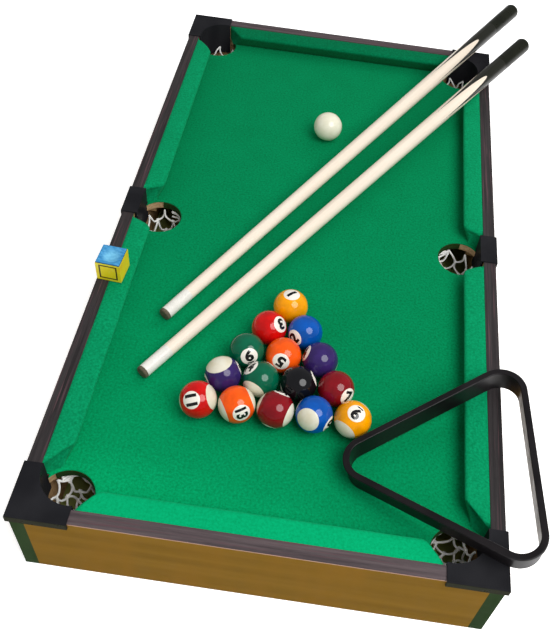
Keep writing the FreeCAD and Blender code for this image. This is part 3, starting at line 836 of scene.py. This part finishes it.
def make_net(centre, seed):
    """A string bag of slack diamonds, gathered and tied at its foot."""
    chance = random.Random(seed)
    knots = []
    for level, reach, turn, play in NET_ROWS:
        row = []
        for side in range(NET_SIDES):
            angle = 2 * math.pi * (side + turn + chance.uniform(-play, play)) / NET_SIDES
            out = reach * (1 - 0.6 * abs(chance.uniform(-play, play)))
            height = level + 12 * chance.uniform(-play, play)
            row.append(centre + Vector((out * math.cos(angle), out * math.sin(angle), height)) * MM)
        knots.append(row)
    foot = centre + Vector((1.2, -0.8, NET_FOOT)) * MM
    lines = []

    def string(a, b, slack):
        """A cord from a to b that bows in and sideways, hangs by `slack` mm and kinks."""
        middle = (a + b) / 2
        inward = centre.xy - middle.xy
        inward = Vector((inward.x, inward.y, 0)).normalized()
        across = (b - a).cross(inward).normalized()
        bow = inward * chance.uniform(-0.1, 1.4) * MM
        bow += across * chance.choice((-1, 1)) * chance.uniform(0.9, 2.3) * MM
        sag = Vector((0, 0, -slack)) * MM
        kink = across * chance.uniform(-1.0, 1.0) * MM
        quarter = (a * 3 + b) / 4 + (bow + sag) * 0.9 + kink
        last = (a + b * 3) / 4 + (bow + sag) * 0.9 - kink
        lines.append([a, quarter, middle + bow + sag, last, b])

    for row, (_, _, turn, _) in enumerate(NET_ROWS[:-1]):
        ahead = 1 if turn else 0
        for side in range(NET_SIDES):
            here = knots[row][side]
            string(here, knots[row + 1][(side + ahead) % NET_SIDES], NET_SLACK)
            string(here, knots[row + 1][(side + ahead - 1) % NET_SIDES], NET_SLACK)
    for here in knots[-1]:
        string(here, foot, FOOT_SLACK)
    tail = foot + Vector((1.8, 1.0, 0.6)) * MM
    lines.append([foot, foot + Vector((0.9, 0.9, 0.9)) * MM, tail])
    play_way = math.atan2(-centre.y, -centre.x)
    for height in COLLAR_HEIGHTS:
        loop = []
        for turn in COLLAR_TURNS:
            way = play_way + math.radians(turn)
            x = (COLLAR_REACH + chance.uniform(-0.7, 0)) * math.cos(way)
            y = (COLLAR_REACH + chance.uniform(-0.7, 0)) * math.sin(way)
            loop.append(centre + Vector((x, y, height + chance.uniform(-1.3, 1.3))) * MM)
        lines.append(loop)
    bm = bmesh.new()
    bm.from_mesh(cord_mesh(lines, NET_CORD))
    for row in knots[1:]:
        for place in row:
            add_knot(bm, place, KNOT, chance)
    add_knot(bm, foot, FOOT_KNOT, chance)
    return bm


def add_knot(bm, place, size, chance):
    """A lumpy overhand knot."""
    made = bmesh.ops.create_icosphere(bm, subdivisions=2, radius=size)
    lean = Matrix.Rotation(chance.uniform(0, 3), 4, Vector((chance.random(), chance.random(), 1)))
    for vert in made["verts"]:
        swell = 1 + 0.22 * math.sin(5 * math.atan2(vert.co.y, vert.co.x) + vert.co.z * 3000)
        vert.co = place + lean @ Vector((vert.co.x * swell, vert.co.y * swell, vert.co.z * 0.85))


cord_white = net_cord("net_cord_white")
for seed, node in enumerate(NET_NODES):
    low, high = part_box(node)
    centre = Vector(((low.x + high.x) / 2, (low.y + high.y) / 2, 0))
    add_piece(f"{node}_knotted", make_net(centre, 11 + seed), [cord_white], "table", "net_cord", node,
              smooth=60.0)

# ---- balls

RESIN = {
    "1": rgb(255, 166, 0), "2": rgb(4, 84, 176), "3": rgb(210, 12, 12), "4": rgb(54, 36, 100),
    "5": rgb(255, 92, 14), "6": rgb(0, 98, 68), "7": rgb(134, 12, 24), "8": rgb(16, 16, 20),
}
# for each number, in degrees: the heading and the height of the way its disc faces, and how far
# the number leans over from upright
FACING = {
    "1": (95.6, 80.5, 129.1), "2": (-127.9, 17.2, 70.5), "3": (-11.9, 45.5, 145.5),
    "4": (175.0, 24.3, 60.4), "5": (-94.5, 30.6, 160.2), "6": (-70.8, 32.6, 11.4),
    "7": (-41.6, 18.9, -38.7), "8": (22.2, 18.4, 132.7), "9": (-58.7, 77.4, 118.3),
    "10": (-26.5, -3.3, 58.8), "11": (-112.7, 50.0, -52.6), "12": (-148.8, -11.0, 24.1),
    "13": (-62.6, 25.8, -81.3), "14": (161.0, 46.0, 85.2), "15": (72.3, 35.8, 90.8),
}
# how far each striped ball's ivory caps reach from their poles, in degrees
BAND_CAP = {"9": 42.0, "10": 38.0, "11": 42.0, "12": 47.0, "13": 43.5, "14": 42.0, "15": 42.0}
# a number's height, its greatest width, how much its strokes swell, and how it is stretched
DIGIT_HEIGHT = 8.7 * MM
NUMBER_WIDTH = 8.4 * MM
STROKE_SWELL = 0.048
DIGIT_STRETCH = 1.12
# the line under 6 and 9, how far it hangs below them, and how far both then move up
UNDERLINE_LONG = 4.8 * MM
UNDERLINE_THICK = 1.1 * MM
UNDERLINE_DROP = 1.2 * MM
UNDERLINED_SHIFT = 0.8 * MM
# a number is cut this fine out to this reach, and laid from under the ball's face to over it
NUMBER_CUT = 0.6 * MM
NUMBER_REACH = 5.1 * MM
NUMBER_SUNK = 0.04 * MM
NUMBER_PROUD = 0.03 * MM


def ink(name):
    """Gloss black printing ink."""
    material, t, surface, v = start_material(name, Roughness=0.07, IOR=1.5)
    t.feed(surface.inputs["Base Color"], t.mix(t.noise(v, 900.0, 3.0), rgb(10, 10, 11), rgb(26, 25, 26)))
    return material


number_ink = ink("number_ink")


def number_shape(text):
    """The number as a flat mesh about the origin, its top towards +Y."""
    data = bpy.data.curves.new("number", "FONT")
    data.body = text
    data.size = 1.0
    data.offset = STROKE_SWELL
    data.resolution_u = 5
    bm = bmesh.new()
    bm.from_mesh(mesh_of_curve(data))
    bmesh.ops.remove_doubles(bm, verts=bm.verts, dist=1e-4)
    low = Vector([min(v.co[i] for v in bm.verts) for i in range(3)])
    high = Vector([max(v.co[i] for v in bm.verts) for i in range(3)])
    tall = DIGIT_HEIGHT / (high.y - low.y)
    wide = min(tall * DIGIT_STRETCH, NUMBER_WIDTH / (high.x - low.x))
    middle = (low + high) / 2
    for vert in bm.verts:
        vert.co = Vector(((vert.co.x - middle.x) * wide, (vert.co.y - middle.y) * tall, 0))
    if text in ("6", "9"):
        made = bmesh.ops.create_grid(bm, x_segments=1, y_segments=1, size=0.5)
        for vert in made["verts"]:
            across = vert.co.x * UNDERLINE_LONG
            vert.co = (across, vert.co.y * UNDERLINE_THICK - DIGIT_HEIGHT / 2 - UNDERLINE_DROP, 0)
        bmesh.ops.translate(bm, verts=bm.verts, vec=(0, UNDERLINED_SHIFT, 0))
    return bm


def make_ball(centre, radius, text=None, toward=None, top=None):
    """A ball, with its number laid into the surface twice, on both of its discs."""
    bm = bmesh.new()
    bmesh.ops.create_uvsphere(bm, u_segments=72, v_segments=48, radius=radius)
    bmesh.ops.translate(bm, verts=bm.verts, vec=centre)
    if text:
        for sign in (1, -1):
            number = number_shape(text)
            for way in ((1, 0, 0), (0, 1, 0)):
                cut_across(number, way, steps(-NUMBER_REACH, NUMBER_REACH, NUMBER_CUT))
            face_way = toward * sign
            side = top.cross(face_way)
            for vert in number.verts:
                spot = face_way * radius + side * vert.co.x + top * vert.co.y
                vert.co = centre + spot.normalized() * (radius - NUMBER_SUNK)
            grown = bmesh.ops.extrude_face_region(number, geom=number.faces[:])
            for vert in [g for g in grown["geom"] if isinstance(g, bmesh.types.BMVert)]:
                vert.co = centre + (vert.co - centre).normalized() * (radius + NUMBER_PROUD)
            bmesh.ops.recalc_face_normals(number, faces=number.faces)
            for face in number.faces:
                face.material_index = 1
            part = bpy.data.meshes.new("number_part")
            number.to_mesh(part)
            number.free()
            bm.from_mesh(part)
            bpy.data.meshes.remove(part)
    return bm


def ball_place(node):
    """A ball node's middle and radius."""
    low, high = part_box(node)
    return (low + high) / 2, (high.x - low.x) / 2


def number_ways(heading, height, lean):
    """The way a ball's disc faces, and the way in which the top of its number points."""
    turned = Matrix.Rotation(math.radians(heading), 3, "Z") @ Matrix.Rotation(math.radians(-height), 3, "Y")
    turned = turned @ Matrix.Rotation(math.radians(lean), 3, "X")
    return turned @ Vector((1, 0, 0)), turned @ Vector((0, 0, 1))


BALL_SLOTS = ("ball_yellow", "ball_blue", "ball_red", "ball_purple", "ball_orange", "ball_green",
              "ball_maroon")
# a cosine that nothing reaches, for the balls without ivory caps
NO_CAP = 2.0
for text, angles in FACING.items():
    number = int(text)
    centre, radius = ball_place(f"ball_{text}")
    toward, top = number_ways(*angles)
    cap_cosine = math.cos(math.radians(BAND_CAP[text])) if number > 8 else NO_CAP
    colour = RESIN[str((number - 1) % 8 + 1)]
    resin = ball_finish(f"resin_{text}", centre, colour, toward, top, cap_cosine)
    slot = "ball_black" if number == 8 else BALL_SLOTS[(number - 1) % 8]
    ball = make_ball(centre, radius, text, toward, top)
    add_piece(f"numbered_ball_{text}", ball, [resin, number_ink], f"ball_{text}", slot, f"ball_{text}")

centre, radius = ball_place("cue_ball")
plain_ivory = plain_grain("cue_ball_ivory", rgb(228, 224, 198), rgb(238, 235, 214), 160.0, (0.1, 0.16),
                          0.01 * MM, IOR=1.5)
add_piece("polished_cue_ball", make_ball(centre, radius), [plain_ivory], "cue_ball", "ball_ivory",
          "cue_ball")

# ---- cues

# each cue's tip in plan, its heading in degrees, and how far along it rests on the cap, in mm
CUES = {"cue_1": ((-95.9, -104.8), 59.2, 432.0), "cue_2": ((-99.3, -158.0), 57.6, 464.0)}
CUE_LENGTH = 530.0
TIP_RADIUS = 4.75
BUTT_RADIUS = 7.5
REST_GAP = 0.3
CAP_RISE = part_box("rear_right_cap")[1].z - CLOTH_TOP
for cue, ((x, y), cue_heading, support) in CUES.items():
    taper = math.atan((BUTT_RADIUS - TIP_RADIUS) / CUE_LENGTH)
    incline = math.atan(CAP_RISE / (support * MM)) + taper
    flat_way = math.radians(cue_heading)
    along = Vector((math.cos(flat_way) * math.cos(incline), math.sin(flat_way) * math.cos(incline),
                    math.sin(incline)))
    origin = Vector((x * MM, y * MM, CLOTH_TOP + (REST_GAP + TIP_RADIUS) * MM))
    paint([f"{cue}_shaft"], cue_wood(f"{cue}_maple", origin, along))
paint(["cue_1_ferrule", "cue_2_ferrule"],
      plain_grain("ferrule_white", rgb(222, 220, 212), rgb(236, 233, 225), 500.0, (0.25, 0.35), 0.01 * MM))
paint(["cue_1_tip", "cue_2_tip"],
      plain_grain("tip_leather", rgb(72, 64, 50), rgb(106, 98, 78), 1100.0, (0.75, 0.95), 0.12 * MM))
paint(["cue_1_butt", "cue_2_butt"],
      plastic("butt_black", rgb(20, 22, 15), rgb(27, 29, 20), (0.24, 0.34), 0.16, stipple=1400.0))

# ---- rack

paint(["rack"], plastic("rack_black", rgb(18, 16, 18), rgb(28, 25, 27), (0.28, 0.4), 0.2, stipple=2400.0))

# ---- chalk

CHALK_TURN = math.radians(-4.0)
CHALK_SIDE = 18.06 * MM
CHALK_EDGE = 0.45 * MM
# the block is cut this fine out to this reach, and at these heights over its middle; its worn
# hollow has this depth, radius and middle, and only what lies over TOP_FROM is worn
CHALK_CUT = 0.55 * MM
CHALK_REACH = 8.6 * MM
TOP_CUTS = (8.6 * MM, 8.0 * MM, 7.0 * MM)
TOP_FROM = 8.3 * MM
HOLLOW_DEPTH = 2.3 * MM
HOLLOW_RADIUS = 8.4 * MM
HOLLOW_AT = (0.4 * MM, -0.3 * MM)
chalk_low, chalk_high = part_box("chalk_block")
chalk_centre = (chalk_low + chalk_high) / 2
chalk_tall = chalk_high.z - chalk_low.z


def make_chalk():
    """A pressed cube with crumbled edges and a worn hollow in its top."""
    bm = bmesh.new()
    bmesh.ops.create_cube(bm, size=1.0)
    bmesh.ops.scale(bm, verts=bm.verts, vec=(CHALK_SIDE, CHALK_SIDE, chalk_tall))
    bmesh.ops.bevel(bm, geom=bm.edges[:], offset=CHALK_EDGE, offset_type="OFFSET", segments=3, profile=0.5,
                    affect="EDGES", clamp_overlap=True, material=-1)
    for way in ((1, 0, 0), (0, 1, 0)):
        cut_across(bm, way, steps(-CHALK_REACH, CHALK_REACH, CHALK_CUT))
    cut_across(bm, (0, 0, 1), TOP_CUTS)
    for vert in bm.verts:
        x, y, z = vert.co
        if z > TOP_FROM:
            off = math.hypot(x - HOLLOW_AT[0], y - HOLLOW_AT[1])
            hollow = HOLLOW_DEPTH * max(0.0, 1 - (off / HOLLOW_RADIUS) ** 2) ** 1.2
            crumb = 0.16 * MM * noise.noise(vert.co * 900) + 0.1 * MM * noise.noise(vert.co * 2300)
            vert.co.z -= hollow + abs(crumb)
    spin = Matrix.Translation(chalk_centre) @ Matrix.Rotation(CHALK_TURN, 4, "Z")
    bmesh.ops.transform(bm, matrix=spin, verts=bm.verts)
    return bm


def chalk_dust(name):
    """Pressed blue chalk, darker at its edges and paler where a tip has rubbed it."""
    material, t, surface, v = start_material(name, Roughness=0.95, Specular_IOR_Level=0.15)
    own = t.place(v, location=chalk_centre, rotation=(0, 0, CHALK_TURN), kind="TEXTURE")
    x, y, z = t.parts(own)
    off = t.math("POWER", t.math("ADD", t.math("MULTIPLY", x, x), t.math("MULTIPLY", y, y)), 0.5)
    smear = t.noise(t.place(own, rotation=(0, 0, 0.5), scale=(1, 2.2, 1)), 230.0, 4.0, 0.6)
    rubbed = t.math("MULTIPLY", t.flip(t.step(off, 2.0 * MM, 8.5 * MM)), smear)
    shown = t.mix(t.step(smear, 0.35, 0.7), rgb(52, 132, 186), rgb(88, 164, 214))
    shown = t.mix(t.math("MULTIPLY", rubbed, 1.5, clamp=True), shown, rgb(126, 200, 230))
    edge = t.past(t.math("MAXIMUM", t.math("ABSOLUTE", x), t.math("ABSOLUTE", y)), 8.8 * MM, 0.2 * MM)
    t.feed(surface.inputs["Base Color"], t.mix(edge, shown, rgb(34, 84, 124)))
    bump(t, surface, t.noise(own, 1800.0, 3.0, 0.7), 0.2 * MM, 0.7)
    return material


add_piece("worn_chalk", make_chalk(), [chalk_dust("chalk_blue_dust")], "chalk", "chalk_blue",
          "chalk_block", smooth=50.0)
paint(["chalk_wrapper"], chalk_paper("chalk_wrapper_paper", chalk_centre, CHALK_TURN))

# ---- floor

FLOOR_HALF = 14.0
GLOW_STRENGTH = 0.6
# the glow fades between these distances from the table, in metres
GLOW_FADE = (2.0, 13.5)
# painted shade: the floor is olive inside the cabinet, up to a soft line under its panels, with no glow
# there
UNDER_PANEL = 4 * MM
SOFT_LINE = 2 * MM


def floor_white(name):
    """A white floor that gives off a little light, with painted shade where the cabinet covers it: olive
    and unlit.
    """
    material, t, surface, v = start_material(name, Roughness=0.9, Specular_IOR_Level=0.1)
    x, y, _ = t.parts(v)
    beyond_x = t.past(t.math("ABSOLUTE", x), HALF_WIDTH - UNDER_PANEL, SOFT_LINE)
    beyond_y = t.past(t.math("ABSOLUTE", y), HALF_LENGTH - UNDER_PANEL, SOFT_LINE)
    lit = t.math("MAXIMUM", beyond_x, beyond_y)
    tone = t.mix(t.noise(v, 3.0), (0.93, 0.93, 0.93, 1), (0.97, 0.97, 0.97, 1))
    # painted shade: olive under the cabinet, white outside it
    t.feed(surface.inputs["Base Color"], t.mix(lit, rgb(150, 160, 92), tone))
    glow = t.math("MULTIPLY", lit, t.flip(t.step(t.vector("LENGTH", v), *GLOW_FADE)))
    t.feed(surface.inputs["Emission Color"], t.mix(glow, (0, 0, 0, 1), (1, 1, 1, 1)))
    surface.inputs["Emission Strength"].default_value = GLOW_STRENGTH
    return material


def make_floor():
    mesh = bpy.data.meshes.new("floor")
    bm = bmesh.new()
    bmesh.ops.create_grid(bm, x_segments=1, y_segments=1, size=FLOOR_HALF)
    bm.to_mesh(mesh)
    bm.free()
    mesh.materials.append(floor_white("floor_white"))
    piece = bpy.data.objects.new("floor", mesh)
    scene.collection.objects.link(piece)
    return piece


floor = make_floor()

bpy.context.view_layer.update()
